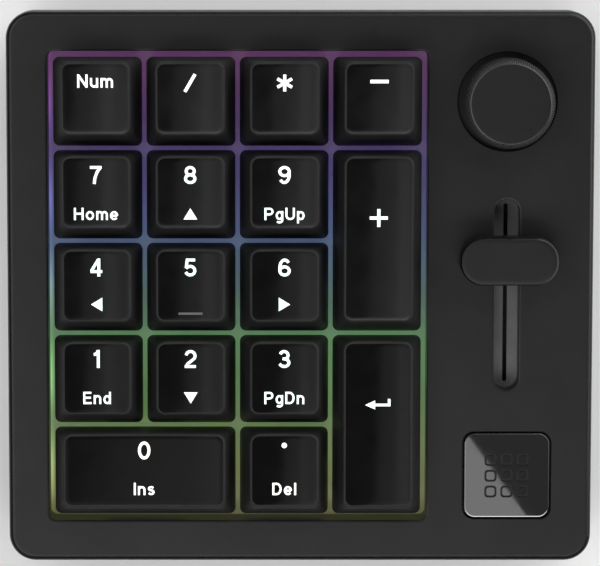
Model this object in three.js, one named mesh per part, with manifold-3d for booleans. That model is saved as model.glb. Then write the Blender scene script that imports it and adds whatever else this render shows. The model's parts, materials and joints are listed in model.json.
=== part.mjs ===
// A numeric keypad with seventeen mechanical keys, a rotary knob and a linear slider, in millimetres.
// +X is the typist's right, +Y points away from the typist and +Z is up. The origin is the centre of
// the footprint, on the surface that the rubber feet stand on.
//
// The deck is the sloping top face. Everything in the deck group is placed in the deck's own frame:
// its origin is the middle of the top face, and its +Z is the deck's normal, which leans towards the
// typist by the typing angle.
import * as THREE from "three";
import { mergeVertices } from "three/addons/utils/BufferGeometryUtils.js";
import Module from "manifold-3d";

const wasm = await Module();
wasm.setup();

// ---------------------------------------------------------------- Driving dimensions

const TYPING_ANGLE = THREE.MathUtils.degToRad(6.5);
const KEY_UNIT = 19.05; // pitch of the key grid, both ways
const FOOT_HEIGHT = 1.5;
const FRONT_HEIGHT = 19.6; // deck's front edge above the desk
const FIT_GAP = 0.2; // between pieces that bear on each other

const CASE = { width: 120.2, depth: 113.5, corner: 5.5, chamfer: 1 };
const TOP_CASE = { skirt: 9, wall: 2.4, deck: 3, collar: 2 };
const BOTTOM_CASE = { inset: 0.4, wall: 2.2, floor: 2, partingGap: 0.3 };

const WELL = { x: -12.85, y: 0.25, width: 77.8, depth: 96.8, corner: 1.4 };
const PLATE = { top: -7.5, thickness: 1.5, margin: 1.2, corner: 2, cutout: 14.1 };
const BOARD = { belowPlate: 5, thickness: 1.6, left: -53, right: 55, depth: 97 };

const KNOB_AT = { x: 42.2, y: 38.35 };
const SLIDER_AT = { x: 42.3, y: -1.35 };
const BADGE_AT = { x: 42.6, y: -38.85 };

const BOARD_TOP = PLATE.top - BOARD.belowPlate;
const BOARD_BOTTOM = BOARD_TOP - BOARD.thickness;

// A key's own frame has its origin on the switch plate's upper face, at the middle of the key.
const KEYCAP = {
  skirt: 6.3, // lower edge above the plate, key up
  size: 18.2,
  corner: 1.3,
  sideInset: 2.05, // how far the top face is inside the base at the left and right
  depthInset: 1.6, // and at the front and back, on average
  wall: 1.4,
  roof: 1.7,
  dish: 0.7, // depth of the cylindrical hollow in the top face
  postRadius: 2.75,
};
const SWITCH = {
  body: 13.9,
  flange: 15.6,
  flangeThickness: 1,
  top: 6.6,
  topSize: 11,
  shaftWidth: 7.4,
  shaftDepth: 6.2,
  shaftFloor: -3.8,
};
const SLIDER_STEM = { width: 6.8, depth: 5.4, bottom: 1, top: 6 }; // the switch's own moving stem
const STABILISER = {
  offset: 11.94, // each insert from the middle of a two-unit key
  width: 7,
  depth: 10,
  top: 4.4,
  hole: 5,
  insert: 4.4,
  insertBottom: 1,
  postBottom: 8.8,
  wire: 1.4,
  wireFrom: 8.6,
  wireBottom: 0.3,
};

// Height of the keycap's top face over its lower edge, the slope of that face (positive is lower at
// the front) and how far it sits behind the base, for each row of keys from the back.
const ROWS = [
  { height: 10.9, slope: 6, setBack: 1.1 },
  { height: 10.1, slope: 4, setBack: 1.15 },
  { height: 9.6, slope: 1, setBack: 1.2 },
  { height: 9.5, slope: -2, setBack: 1.3 },
  { height: 9.7, slope: -4, setBack: 1.4 },
];

// column and row are the grid cells of the key's left and rear end.
const KEYS = [
  { name: "num", column: 0, row: 0 },
  { name: "divide", column: 1, row: 0 },
  { name: "multiply", column: 2, row: 0 },
  { name: "minus", column: 3, row: 0 },
  { name: "7", column: 0, row: 1 },
  { name: "8", column: 1, row: 1 },
  { name: "9", column: 2, row: 1 },
  { name: "plus", column: 3, row: 1, tall: 2 },
  { name: "4", column: 0, row: 2 },
  { name: "5", column: 1, row: 2 },
  { name: "6", column: 2, row: 2 },
  { name: "1", column: 0, row: 3 },
  { name: "2", column: 1, row: 3 },
  { name: "3", column: 2, row: 3 },
  { name: "enter", column: 3, row: 3, tall: 2 },
  { name: "0", column: 0, row: 4, wide: 2 },
  { name: "decimal", column: 2, row: 4 },
].map((key) => ({ wide: 1, tall: 1, ...key }));
const COLUMNS = 4;

const SCREW = { x: 54.4, y: 51, shank: 1, head: 1.9, headHeight: 1.4, tip: -7.5, seat: -15.2 };
const BOSS = { topRadius: 2, bottomRadius: 2.6, hole: 1.2, counterbore: 2.1, split: -12 };

const KNOB = {
  radius: 9.05,
  recess: 10.1,
  recessDepth: 1.8,
  bottom: -1,
  top: 9.4,
  chamfer: 1,
  cavity: 6.5,
  cavityTop: 4.5,
  bore: 3,
  boreTop: 8,
};
const ENCODER = { size: 12, top: -5.9, bushing: 3.5, bushingTop: 3.4, hole: 3.1, cavity: 5.1, cavityTop: -7.9 };
const ROTOR = { radius: 4.7, bottom: -12.1, top: -8.3, hole: 4.2 };
const SHAFT = { radius: 2.8, top: 7.7, shoulder: -7.5, key: 3.6, bottom: -11.7 };

const SLOT = { width: 5.15, length: 39.4, collar: 1.5, collarBottom: -4.7 };
const FADER = { width: 9, length: 45, top: -5, lid: 1, channel: 6, channelLength: 41, slit: 1, slitLength: 37.2 };
const LEVER = { offset: 7.7, thickness: 0.7, width: 5, top: 5.2, carriage: 5.4, carriageLength: 7, carriageTop: -6.4 };
const CAP = { width: 19.9, depth: 9.7, corner: 4.5, bottom: 2, top: 8, pocketTop: 5.5 };

const BADGE = { size: 17.7, recess: 18.2, corner: 2.3, recessDepth: 1.6, bottom: -1.5, top: 0.1 };
const USB = { x: 0, width: 8.94, height: 3.26, wall: 0.35, length: 7.3, mouth: 55.55, tongueWidth: 6.7, tongue: 0.7 };
const MODE = { x: 25, slotWidth: 7, slotHeight: 2.4, nubWidth: 2.4, nubHeight: 1.8, nubEnd: 55.25 };
const BATTERY = { width: 60, depth: 36, height: 5.6, y: 24, above: 0.2 };
const FOOT = { length: 20, width: 7, x: 42, y: 46 };

// ---------------------------------------------------------------- Solids

// A closed geometry as a solid that can be cut and joined.
function solidOf(geometry) {
  const loose = geometry.index ? geometry.toNonIndexed() : geometry;
  const bare = new THREE.BufferGeometry().setAttribute("position", loose.getAttribute("position"));
  const merged = mergeVertices(bare, 1e-4);
  return new wasm.Manifold(
    new wasm.Mesh({
      numProp: 3,
      vertProperties: merged.getAttribute("position").array,
      triVerts: new Uint32Array(merged.index.array),
    }),
  );
}

function geometryOf(solid) {
  const mesh = solid.getMesh();
  return new THREE.BufferGeometry()
    .setAttribute("position", new THREE.BufferAttribute(mesh.vertProperties, 3))
    .setIndex(new THREE.BufferAttribute(mesh.triVerts, 1));
}

function block(width, depth, bottom, top, x = 0, y = 0) {
  return solidOf(new THREE.BoxGeometry(width, depth, top - bottom).translate(x, y, (bottom + top) / 2));
}

function cylinder(radius, bottom, top, x = 0, y = 0, sides = 16) {
  const geometry = new THREE.CylinderGeometry(radius, radius, top - bottom, sides).rotateX(Math.PI / 2);
  return solidOf(geometry.translate(x, y, (bottom + top) / 2));
}

// The arcs always leave a little straight edge between them.
function roundedRectangle(width, depth, cornerRadius, x = 0, y = 0) {
  const radius = Math.min(cornerRadius, Math.min(width, depth) / 2 - 0.01);
  const [left, right] = [x - width / 2, x + width / 2];
  const [front, back] = [y - depth / 2, y + depth / 2];
  const shape = new THREE.Shape();
  shape.absarc(right - radius, front + radius, radius, -Math.PI / 2, 0);
  shape.absarc(right - radius, back - radius, radius, 0, Math.PI / 2);
  shape.absarc(left + radius, back - radius, radius, Math.PI / 2, Math.PI);
  shape.absarc(left + radius, front + radius, radius, Math.PI, 1.5 * Math.PI);
  shape.closePath();
  return shape;
}

// A shape in the XY plane, extruded from bottom to top. Each corner arc gets twice curveSegments sides.
function extrusion(shape, bottom, top, curveSegments = 2) {
  const options = { depth: top - bottom, bevelEnabled: false, curveSegments };
  return new THREE.ExtrudeGeometry(shape, options).translate(0, 0, bottom);
}

function prism(shape, bottom, top, curveSegments = 2) {
  return solidOf(extrusion(shape, bottom, top, curveSegments));
}

// Scales a prism's outline steadily with height, to scaleX and scaleY at its top, and moves it by shiftY.
function tapered(geometry, bottom, top, scaleX, scaleY, shiftY = 0) {
  const position = geometry.getAttribute("position");
  for (let i = 0; i < position.count; i++) {
    const t = (position.getZ(i) - bottom) / (top - bottom);
    position.setX(i, position.getX(i) * (1 + t * (scaleX - 1)));
    position.setY(i, position.getY(i) * (1 + t * (scaleY - 1)) + t * shiftY);
  }
  return geometry;
}

function union(solids) {
  return solids.reduce((joined, solid) => joined.add(solid));
}

function difference(solid, cutters) {
  return cutters.reduce((left, cutter) => left.subtract(cutter), solid);
}

// ---------------------------------------------------------------- Frame of the deck

const deck = new THREE.Group();
deck.rotation.x = TYPING_ANGLE;
deck.position.z = FRONT_HEIGHT + (CASE.depth / 2) * Math.sin(TYPING_ANGLE);
deck.updateMatrix();
const fromDesk = deck.matrix.clone().invert();

// A column that stands upright on the desk, with rounded corners, as a solid in the deck's frame.
function uprightColumn(width, front, back, corner, bottom, top) {
  const outline = roundedRectangle(width, back - front, corner, 0, (front + back) / 2);
  return solidOf(extrusion(outline, bottom, top, 3).applyMatrix4(fromDesk));
}

function keyCentre(key) {
  const column = key.column + (key.wide - 1) / 2 - (COLUMNS - 1) / 2;
  const row = key.row + (key.tall - 1) / 2 - (ROWS.length - 1) / 2;
  return { x: WELL.x + column * KEY_UNIT, y: WELL.y - row * KEY_UNIT };
}

const SCREW_PLACES = [
  { name: "front_left", x: -SCREW.x, y: -SCREW.y },
  { name: "front_right", x: SCREW.x, y: -SCREW.y },
  { name: "rear_left", x: -SCREW.x, y: SCREW.y },
  { name: "rear_right", x: SCREW.x, y: SCREW.y },
];

// ---------------------------------------------------------------- Case

// The aluminium top case: deck, skirt, the collar round the key well and the one round the slider's slot.
function topCase() {
  const outline = roundedRectangle(CASE.width, CASE.depth, CASE.corner);
  const below = TOP_CASE.skirt + 3;
  const shell = new THREE.ExtrudeGeometry(outline, {
    depth: below - 2 * CASE.chamfer,
    bevelThickness: CASE.chamfer,
    bevelSize: CASE.chamfer,
    bevelOffset: -CASE.chamfer,
    bevelSegments: 1,
    curveSegments: 4,
  }).translate(0, 0, CASE.chamfer - below);
  const outer = solidOf(shell).intersect(block(CASE.width + 2, CASE.depth + 2, -TOP_CASE.skirt, 1));

  const inside = roundedRectangle(
    CASE.width - 2 * TOP_CASE.wall,
    CASE.depth - 2 * TOP_CASE.wall,
    CASE.corner - TOP_CASE.wall,
  );
  const hollow = prism(inside, -TOP_CASE.skirt - 1, -TOP_CASE.deck);
  const collar = prism(
    roundedRectangle(
      WELL.width + 2 * TOP_CASE.collar,
      WELL.depth + 2 * TOP_CASE.collar,
      WELL.corner + TOP_CASE.collar,
      WELL.x,
      WELL.y,
    ),
    PLATE.top + FIT_GAP,
    -TOP_CASE.deck / 2,
  );
  const slotCollar = prism(
    roundedRectangle(
      SLOT.width + 2 * SLOT.collar,
      SLOT.length + 2 * SLOT.collar,
      SLOT.width / 2 + SLOT.collar,
      SLIDER_AT.x,
      SLIDER_AT.y,
    ),
    SLOT.collarBottom,
    -TOP_CASE.deck / 2,
  );
  const bosses = SCREW_PLACES.map(({ x, y }) => cylinder(BOSS.topRadius, BOSS.split, -TOP_CASE.deck / 2, x, y));

  const well = prism(roundedRectangle(WELL.width, WELL.depth, WELL.corner, WELL.x, WELL.y), PLATE.top - 1, 1);
  const slot = prism(
    roundedRectangle(SLOT.width, SLOT.length, SLOT.width / 2, SLIDER_AT.x, SLIDER_AT.y),
    SLOT.collarBottom - 1,
    1,
    3,
  );
  const badgeRecess = prism(
    roundedRectangle(BADGE.recess, BADGE.recess, BADGE.corner, BADGE_AT.x, BADGE_AT.y),
    -BADGE.recessDepth,
    1,
  );
  const knobRecess = cylinder(KNOB.recess, -KNOB.recessDepth, 1, KNOB_AT.x, KNOB_AT.y, 40);
  const bushingHole = cylinder(ENCODER.bushing + 0.4, -TOP_CASE.deck - 1, 0, KNOB_AT.x, KNOB_AT.y, 20);
  const screwHoles = SCREW_PLACES.map(({ x, y }) => cylinder(BOSS.hole, BOSS.split - 1, SCREW.tip + 1, x, y, 12));

  return difference(union([outer.subtract(hollow), collar, slotCollar, ...bosses]), [
    well,
    slot,
    badgeRecess,
    knobRecess,
    bushingHole,
    ...screwHoles,
  ]);
}

const PARTING = -TOP_CASE.skirt - BOTTOM_CASE.partingGap;
// The rear wall is upright: it starts under the skirt's rear edge.
const REAR_WALL = new THREE.Vector3(0, CASE.depth / 2 - BOTTOM_CASE.inset, PARTING).applyMatrix4(deck.matrix).y;

// What is under the parting line, inset from the case's outline, above the height given and in front of
// the rear wall.
function underParting(inset, bottom) {
  const [width, corner] = [CASE.width - 2 * inset, CASE.corner - inset];
  const column = prism(roundedRectangle(width, CASE.depth - 2 * inset, corner), -50, PARTING, 3);
  const rear = REAR_WALL - (inset - BOTTOM_CASE.inset);
  return column.intersect(uprightColumn(width, -CASE.depth, rear, corner, bottom, 60));
}

// The plastic bottom case: an open tray with four screw bosses, four board rests and two rear openings.
function bottomCase() {
  const inner = BOTTOM_CASE.inset + BOTTOM_CASE.wall;
  const outer = underParting(BOTTOM_CASE.inset, FOOT_HEIGHT);
  const hollow = underParting(inner, FOOT_HEIGHT + BOTTOM_CASE.floor).add(
    prism(roundedRectangle(CASE.width - 2 * inner, CASE.depth - 2 * inner - 1, 2), PARTING - 0.5, PARTING + 1),
  );
  const bossTop = BOSS.split - BOTTOM_CASE.partingGap;
  const bosses = SCREW_PLACES.map(({ x, y }) => cylinder(BOSS.bottomRadius, -50, bossTop, x, y));
  const rests = [-46, 50].flatMap((x) =>
    [-28.35, 9.75].map((y) => cylinder(2, -50, BOARD_BOTTOM - FIT_GAP, x, y, 12)),
  );
  const posts = union([...bosses, ...rests]).intersect(outer);
  const bores = SCREW_PLACES.flatMap(({ x, y }) => [
    cylinder(BOSS.hole, -50, 0, x, y, 12),
    cylinder(BOSS.counterbore, -50, SCREW.seat - FIT_GAP, x, y),
  ]);
  const usbMiddle = BOARD_BOTTOM - USB.height / 2 - FIT_GAP;
  const usbOpening = block(
    USB.width + 0.8,
    10,
    usbMiddle - USB.height / 2 - 0.4,
    usbMiddle + USB.height / 2 + 0.4,
    USB.x,
    CASE.depth / 2,
  );
  const modeMiddle = BOARD_BOTTOM - MODE.slotHeight / 2 - 0.4;
  const modeOpening = block(
    MODE.slotWidth,
    10,
    modeMiddle - MODE.slotHeight / 2,
    modeMiddle + MODE.slotHeight / 2,
    MODE.x,
    CASE.depth / 2,
  );
  return difference(union([outer.subtract(hollow), posts]), [...bores, usbOpening, modeOpening]);
}

function caseScrew() {
  const shank = cylinder(SCREW.shank, SCREW.seat - 0.5, SCREW.tip, 0, 0, 12);
  const head = cylinder(SCREW.head, SCREW.seat - SCREW.headHeight, SCREW.seat - 2 * FIT_GAP, 0, 0, 16);
  const recess = cylinder(SCREW.head / 2, SCREW.seat - SCREW.headHeight - 1, SCREW.seat - 0.7, 0, 0, 6);
  return head.add(shank).subtract(recess);
}

function rubberFoot() {
  return prism(roundedRectangle(FOOT.length, FOOT.width, FOOT.width / 2), 0, FOOT_HEIGHT - FIT_GAP, 3);
}

// ---------------------------------------------------------------- Board, plate and what is on them

function stabiliserPlaces(key) {
  if (key.wide === 1 && key.tall === 1) return [];
  return [-1, 1].map((side) => ({
    x: key.wide > 1 ? side * STABILISER.offset : 0,
    y: key.tall > 1 ? side * STABILISER.offset : 0,
  }));
}

function switchPlate() {
  const sheet = prism(
    roundedRectangle(
      WELL.width + 2 * PLATE.margin,
      WELL.depth + 2 * PLATE.margin,
      PLATE.corner,
      WELL.x,
      WELL.y,
    ),
    PLATE.top - PLATE.thickness,
    PLATE.top,
  );
  const [low, high] = [PLATE.top - PLATE.thickness - 1, PLATE.top + 1];
  const cutouts = KEYS.flatMap((key) => {
    const centre = keyCentre(key);
    const across = key.tall > 1 ? STABILISER.depth : STABILISER.width;
    const along = key.tall > 1 ? STABILISER.width : STABILISER.depth;
    return [
      block(PLATE.cutout, PLATE.cutout, low, high, centre.x, centre.y),
      ...stabiliserPlaces(key).map((place) =>
        block(across + 0.4, along + 0.4, low, high, centre.x + place.x, centre.y + place.y),
      ),
    ];
  });
  return difference(sheet, cutouts);
}

// The printed circuit board with what is soldered to it: hot-swap sockets, controller, mode-switch body.
function circuitBoard() {
  const middle = (BOARD.left + BOARD.right) / 2;
  const board = prism(
    roundedRectangle(BOARD.right - BOARD.left, BOARD.depth, 2, middle),
    BOARD_BOTTOM,
    BOARD_TOP,
    1,
  );
  const socketDepth = 1.8;
  const sockets = KEYS.map(keyCentre).map(({ x, y }) =>
    block(10.9, 4.7, BOARD_BOTTOM - socketDepth, BOARD_BOTTOM + 0.5, x - 0.6, y + 3.8),
  );
  const controller = block(7, 7, BOARD_BOTTOM - 0.9, BOARD_BOTTOM + 0.5, 30, -20);
  const modeSwitch = block(9, 4, BOARD_BOTTOM - 3.2, BOARD_BOTTOM + 0.5, MODE.x, BOARD.depth / 2 - 2);
  return union([board, ...sockets, controller, modeSwitch]);
}

function switchHousing() {
  const { body, flange, flangeThickness, top, topSize } = SWITCH;
  const upperBottom = FIT_GAP + flangeThickness;
  const bottom = FIT_GAP - BOARD.belowPlate;
  const upper = tapered(
    extrusion(roundedRectangle(body, body, 1.2), upperBottom - 0.3, top, 1),
    upperBottom - 0.3,
    top,
    topSize / body,
    topSize / body,
  );
  const lower = block(body, body, bottom, FIT_GAP + 0.3);
  const rim = block(flange, flange, FIT_GAP, upperBottom);
  const shaft = block(SWITCH.shaftWidth, SWITCH.shaftDepth, SWITCH.shaftFloor, top + 1);
  return union([lower, rim, solidOf(upper)]).subtract(shaft);
}

// Two guides and the bent wire that makes both ends of a two-unit key go down together, along X.
function stabiliser() {
  const { offset, width, depth, top, hole, wire, wireFrom, wireBottom } = STABILISER;
  const bottom = FIT_GAP - BOARD.belowPlate;
  const guides = [-offset, offset].map((x) =>
    block(width, depth, bottom, top, x, 0).subtract(block(hole, hole, bottom + 0.8, top + 1, x, 0)),
  );
  const [near, far] = [depth / 2 - 0.5, wireFrom + wire / 2];
  const bend = new THREE.Shape([
    new THREE.Vector2(-offset - wire / 2, near),
    new THREE.Vector2(-offset + wire / 2, near),
    new THREE.Vector2(-offset + wire / 2, far - wire),
    new THREE.Vector2(offset - wire / 2, far - wire),
    new THREE.Vector2(offset - wire / 2, near),
    new THREE.Vector2(offset + wire / 2, near),
    new THREE.Vector2(offset + wire / 2, far),
    new THREE.Vector2(-offset - wire / 2, far),
  ]);
  return union([...guides, prism(bend, wireBottom, wireBottom + wire)]);
}

// The inlet's steel shell and its contact tongue, with the mouth at the origin and facing +Y.
function usbSocket() {
  const radius = USB.height / 2;
  const shell = prism(roundedRectangle(USB.width, USB.height, radius), 0, USB.length);
  const mouth = prism(
    roundedRectangle(USB.width - 2 * USB.wall, USB.height - 2 * USB.wall, radius - USB.wall),
    -1,
    USB.length - 1,
  );
  const tongue = block(USB.tongueWidth, USB.tongue, 1, USB.length - 0.5);
  return shell.subtract(mouth).add(tongue).rotate([90, 0, 0]);
}

// ---------------------------------------------------------------- Keycaps

// What is above the keycap's top face: a hollow as wide as the face and a flat to each side of it.
function dishCutter(key, row) {
  const half = (key.wide * KEY_UNIT) / 2 - (KEY_UNIT - KEYCAP.size) / 2 - KEYCAP.sideInset;
  const radius = (half * half + KEYCAP.dish * KEYCAP.dish) / (2 * KEYCAP.dish);
  const reach = Math.asin(half / radius);
  const section = new THREE.Shape();
  section.moveTo(-half - 9, KEYCAP.dish);
  section.absarc(0, radius, radius, -Math.PI / 2 - reach, -Math.PI / 2 + reach);
  section.lineTo(half + 9, KEYCAP.dish);
  section.lineTo(half + 9, KEYCAP.dish + 9);
  section.lineTo(-half - 9, KEYCAP.dish + 9);
  section.closePath();
  const length = 80;
  return solidOf(
    extrusion(section, -length / 2, length / 2, 3)
      .rotateX(Math.PI / 2)
      .rotateX(THREE.MathUtils.degToRad(row.slope))
      .translate(0, row.setBack, KEYCAP.skirt + row.height - KEYCAP.dish),
  );
}

// A keycap with the switch stem that it is pressed onto, and a stabiliser insert at each end of a
// two-unit key.
function keycap(key) {
  const row = ROWS[key.row];
  const { skirt, size, corner, sideInset, depthInset, wall, roof, postRadius } = KEYCAP;
  const width = size + (key.wide - 1) * KEY_UNIT;
  const depth = size + (key.tall - 1) * KEY_UNIT;
  const topScale = [1 - (2 * sideInset) / width, 1 - (2 * depthInset) / depth];

  const peak = skirt + row.height + 1;
  const outside = extrusion(roundedRectangle(width, depth, corner), skirt, peak, 1);
  const body = solidOf(tapered(outside, skirt, peak, ...topScale, row.setBack));

  const ceiling = skirt + row.height - KEYCAP.dish - roof;
  const inside = extrusion(
    roundedRectangle(width - 2 * wall, depth - 2 * wall, corner / 2),
    skirt - 1,
    ceiling,
    1,
  );
  const cavity = solidOf(tapered(inside, skirt - 1, ceiling, ...topScale, row.setBack * 0.7));

  const post = cylinder(postRadius, SLIDER_STEM.top - 0.5, ceiling + 0.5, 0, 0, 10);
  const stem = block(SLIDER_STEM.width, SLIDER_STEM.depth, SLIDER_STEM.bottom, SLIDER_STEM.top);
  const inserts = stabiliserPlaces(key).flatMap(({ x, y }) => [
    cylinder(postRadius, STABILISER.postBottom, ceiling + 0.5, x, y, 10),
    block(STABILISER.insert, STABILISER.insert, STABILISER.insertBottom, STABILISER.postBottom + 0.5, x, y),
  ]);
  return union([difference(body, [cavity, dishCutter(key, row)]), post, stem, ...inserts]);
}

// ---------------------------------------------------------------- Knob and encoder

function knob() {
  const { radius, bottom, top, chamfer, cavity, cavityTop, bore, boreTop } = KNOB;
  const profile = [
    [0, boreTop],
    [bore, boreTop],
    [bore, cavityTop],
    [cavity, cavityTop],
    [cavity, bottom],
    [radius, bottom],
    [radius, top - chamfer],
    [radius - chamfer, top],
    [0, top],
  ].map(([r, z]) => new THREE.Vector2(r, z));
  return solidOf(new THREE.LatheGeometry(profile, 32).rotateX(Math.PI / 2));
}

// The encoder's fixed body and threaded bushing, open underneath to the board.
function encoderBody() {
  const bottom = BOARD_TOP + FIT_GAP;
  const { size, top, bushing, bushingTop, hole, cavity, cavityTop } = ENCODER;
  return difference(union([block(size, size, bottom, top), cylinder(bushing, top - 0.5, bushingTop, 0, 0, 20)]), [
    cylinder(cavity, bottom - 1, cavityTop, 0, 0, 20),
    cylinder(hole, bottom, bushingTop + 1),
  ]);
}

function encoderRotor() {
  const disc = cylinder(ROTOR.radius, ROTOR.bottom, ROTOR.top, 0, 0, 20);
  return disc.subtract(block(ROTOR.hole, ROTOR.hole, ROTOR.bottom - 1, ROTOR.top + 1));
}

function encoderShaft() {
  const round = cylinder(SHAFT.radius, SHAFT.shoulder, SHAFT.top);
  return round.add(block(SHAFT.key, SHAFT.key, SHAFT.bottom, SHAFT.shoulder + 0.5));
}

// ---------------------------------------------------------------- Slider

function faderBody() {
  const bottom = BOARD_TOP + FIT_GAP;
  return difference(block(FADER.width, FADER.length, bottom, FADER.top), [
    block(FADER.channel, FADER.channelLength, bottom - 1, FADER.top - FADER.lid),
    prism(roundedRectangle(FADER.slit, FADER.slitLength, FADER.slit / 2), bottom, FADER.top + 1),
  ]);
}

function sliderLever() {
  const carriage = block(LEVER.carriage, LEVER.carriageLength, BOARD_TOP + 0.4, LEVER.carriageTop);
  return carriage.add(block(LEVER.thickness, LEVER.width, LEVER.carriageTop - 0.5, LEVER.top));
}

function sliderCap() {
  const body = prism(roundedRectangle(CAP.width, CAP.depth, CAP.corner), CAP.bottom, CAP.top, 3);
  return body.subtract(block(LEVER.thickness + 0.3, LEVER.width + 0.4, CAP.bottom - 1, CAP.pocketTop));
}

// ---------------------------------------------------------------- Small pieces

function badgePlate() {
  return prism(roundedRectangle(BADGE.size, BADGE.size, BADGE.corner), BADGE.bottom, BADGE.top);
}

function modeSwitchNub() {
  const inner = BOARD.depth / 2 + 0.2;
  const nub = block(MODE.nubWidth, MODE.nubEnd - inner, -MODE.nubHeight / 2, MODE.nubHeight / 2);
  return nub.translate([0, (inner + MODE.nubEnd) / 2, 0]);
}

function batteryPack() {
  const cell = roundedRectangle(BATTERY.width, BATTERY.depth, 2.5);
  return prism(cell, 0, BATTERY.height);
}

// ---------------------------------------------------------------- Assembly

const finish = (color, roughness, metalness) => new THREE.MeshStandardMaterial({ color, roughness, metalness });
const MATERIALS = {
  aluminium: finish(0x26272a, 0.6, 0.5),
  bottomPlastic: finish(0x1d1e20, 0.7, 0),
  keycapPlastic: finish(0x18191b, 0.45, 0),
  switchPlastic: finish(0xd8dade, 0.5, 0),
  plateSteel: finish(0xe4e4e8, 0.5, 0.2),
  board: finish(0x10241a, 0.6, 0),
  metal: finish(0xb5b7ba, 0.35, 1),
  gloss: finish(0x2b2b2e, 0.12, 0),
  rubber: finish(0x141414, 0.9, 0),
  battery: finish(0x2a3c5c, 0.6, 0),
};

function place(parent, name, solid, material, x = 0, y = 0, z = 0) {
  const mesh = new THREE.Mesh(geometryOf(solid), MATERIALS[material]);
  mesh.name = name;
  mesh.position.set(x, y, z);
  parent.add(mesh);
  return mesh;
}

const numpad = new THREE.Group();
numpad.add(deck);

place(deck, "top_case", topCase(), "aluminium");
place(deck, "bottom_case", bottomCase(), "bottomPlastic");
place(deck, "switch_plate", switchPlate(), "plateSteel");
place(deck, "circuit_board", circuitBoard(), "board");
place(deck, "badge", badgePlate(), "gloss", BADGE_AT.x, BADGE_AT.y);

const cornerScrew = caseScrew();
for (const { name, x, y } of SCREW_PLACES) {
  place(deck, `case_screw_${name}`, cornerScrew, "metal", x, y);
}

const housing = switchHousing();
const guide = stabiliser();
for (const key of KEYS) {
  const { x, y } = keyCentre(key);
  place(deck, `switch_${key.name}`, housing, "switchPlastic", x, y, PLATE.top);
  place(deck, `keycap_${key.name}`, keycap(key), "keycapPlastic", x, y, PLATE.top);
  if (key.wide > 1 || key.tall > 1) {
    const mesh = place(deck, `stabiliser_${key.name}`, guide, "switchPlastic", x, y, PLATE.top);
    mesh.rotation.z = key.tall > 1 ? Math.PI / 2 : 0;
  }
}

place(deck, "encoder_body", encoderBody(), "metal", KNOB_AT.x, KNOB_AT.y);
place(deck, "encoder_rotor", encoderRotor(), "switchPlastic", KNOB_AT.x, KNOB_AT.y);
place(deck, "encoder_shaft", encoderShaft(), "metal", KNOB_AT.x, KNOB_AT.y);
place(deck, "knob", knob(), "aluminium", KNOB_AT.x, KNOB_AT.y);

place(deck, "slide_potentiometer", faderBody(), "metal", SLIDER_AT.x, SLIDER_AT.y);
place(deck, "slider_lever", sliderLever(), "metal", SLIDER_AT.x, SLIDER_AT.y + LEVER.offset);
place(deck, "slider_cap", sliderCap(), "aluminium", SLIDER_AT.x, SLIDER_AT.y + LEVER.offset);

const usbHeight = BOARD_BOTTOM - USB.height / 2 - FIT_GAP;
place(deck, "usb_c_socket", usbSocket(), "metal", USB.x, USB.mouth, usbHeight);
const modeHeight = BOARD_BOTTOM - MODE.slotHeight / 2 - 0.4;
place(deck, "mode_switch_nub", modeSwitchNub(), "switchPlastic", MODE.x, 0, modeHeight);

const batteryBase = FOOT_HEIGHT + BOTTOM_CASE.floor + BATTERY.above;
place(numpad, "battery_pack", batteryPack(), "battery", WELL.x, BATTERY.y, batteryBase);
for (const [side, x] of [["left", -FOOT.x], ["right", FOOT.x]]) {
  for (const [end, y] of [["front", -FOOT.y], ["rear", FOOT.y]]) {
    place(numpad, `foot_${end}_${side}`, rubberFoot(), "rubber", x, y);
  }
}

// The case's front and rear edges aren't the same way from the deck's middle, so the footprint is
// centred on the origin last.
const footprint = new THREE.Box3().setFromObject(numpad, true);
numpad.position.y = -(footprint.min.y + footprint.max.y) / 2;

export default numpad;
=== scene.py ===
import json
import math

import bmesh
import bpy
from mathutils import Matrix, Vector
from mathutils.geometry import delaunay_2d_cdt, tessellate_polygon


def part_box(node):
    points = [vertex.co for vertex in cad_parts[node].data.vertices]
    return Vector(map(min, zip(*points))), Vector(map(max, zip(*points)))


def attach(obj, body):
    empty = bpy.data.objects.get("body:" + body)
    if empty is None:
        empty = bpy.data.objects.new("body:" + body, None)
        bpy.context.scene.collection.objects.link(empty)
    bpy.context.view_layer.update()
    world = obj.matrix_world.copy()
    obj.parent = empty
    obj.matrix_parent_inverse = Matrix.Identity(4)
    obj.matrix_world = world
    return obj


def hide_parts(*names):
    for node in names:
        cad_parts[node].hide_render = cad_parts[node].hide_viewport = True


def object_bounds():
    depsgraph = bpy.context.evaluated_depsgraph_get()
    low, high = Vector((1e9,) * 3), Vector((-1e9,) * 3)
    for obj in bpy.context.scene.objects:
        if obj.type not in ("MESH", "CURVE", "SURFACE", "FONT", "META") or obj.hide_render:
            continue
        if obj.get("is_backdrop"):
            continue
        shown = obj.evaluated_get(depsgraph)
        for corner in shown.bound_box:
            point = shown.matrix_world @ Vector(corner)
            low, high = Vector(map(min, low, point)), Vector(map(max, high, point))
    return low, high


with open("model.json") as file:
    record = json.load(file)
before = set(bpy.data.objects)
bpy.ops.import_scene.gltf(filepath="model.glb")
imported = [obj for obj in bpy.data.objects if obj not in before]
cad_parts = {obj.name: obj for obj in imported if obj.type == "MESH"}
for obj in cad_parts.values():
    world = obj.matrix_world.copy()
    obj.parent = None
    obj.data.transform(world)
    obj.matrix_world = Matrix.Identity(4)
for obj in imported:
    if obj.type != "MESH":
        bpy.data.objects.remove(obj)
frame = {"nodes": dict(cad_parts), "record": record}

# A numeric keypad with a lit key well, a knurled knob, a slider and a gloss badge plate.
# Shapes are drawn in millimetres, most of them in the deck's frame: X to the typist's right, Y towards
# the rear along the sloping deck, Z along the deck's normal, with the origin in the middle of the deck.

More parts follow.
